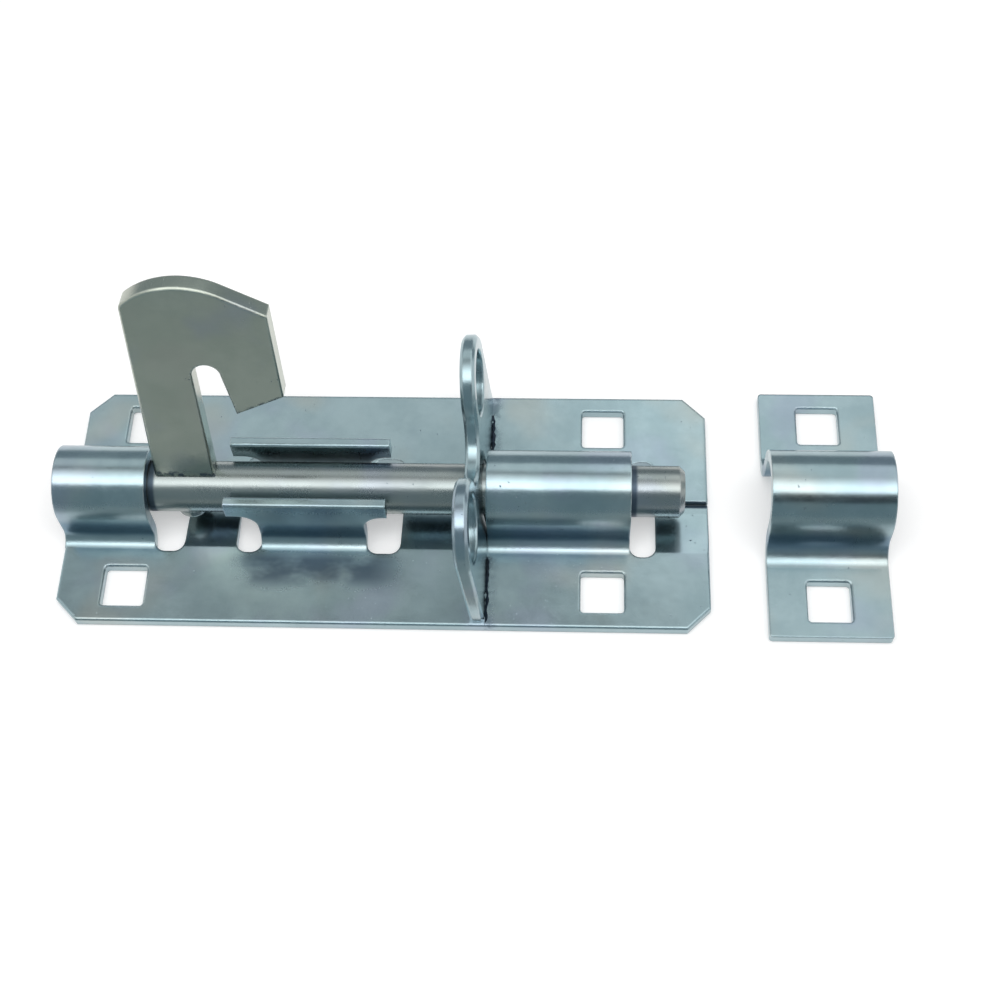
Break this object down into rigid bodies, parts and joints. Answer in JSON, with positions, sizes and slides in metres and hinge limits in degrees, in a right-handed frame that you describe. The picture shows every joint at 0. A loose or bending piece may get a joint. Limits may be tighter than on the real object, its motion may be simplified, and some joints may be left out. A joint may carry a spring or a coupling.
{
  "type": "padbolt",
  "caption": "Surface padbolt: a pressed backplate guides a round bolt with a hooked flat handle, an upright padlock lug and a separate bow keeper.",
  "frame": {"origin": "centre of the backplate's flat back face, which lies on the door", "axes": "+X along the bolt towards its nose and the keeper, +Z away from the door, +Y towards the side that the pictured handle points to"},
  "size_m": [0.193, 0.065, 0.0725],
  "materials": {
    "backplate_zinc": "bright zinc plate on pressed sheet, bluish grey, fine mottle",
    "lug_zinc": "bright zinc plate on punched sheet with rounded rims",
    "rod_zinc": "zinc plate on drawn round bar, slightly warmer grey",
    "handle_zinc": "zinc plate on punched flat bar, slightly warmer grey",
    "rivet_zinc": "zinc plate on a closed rivet head",
    "keeper_zinc": "bright zinc plate on pressed sheet"
  },
  "bodies": {
    "base": {"backplate": "backplate_zinc", "lug_plate": "lug_zinc", "keeper": "keeper_zinc"},
    "bolt": {"rod": "rod_zinc"},
    "lever": {"handle": "handle_zinc", "handle_rivet": "rivet_zinc"}
  },
  "joints": [
    {"name": "bolt_slide", "type": "slide", "parent": "base", "child": "bolt", "axis": [1, 0, 0], "range_m": [0, 0.0569]},
    {"name": "handle_turn", "type": "hinge", "parent": "bolt", "child": "lever", "pos_m": [-0.04585, 0, 0.011], "axis": [1, 0, 0], "range_deg": [-85, 111]}
  ]
}
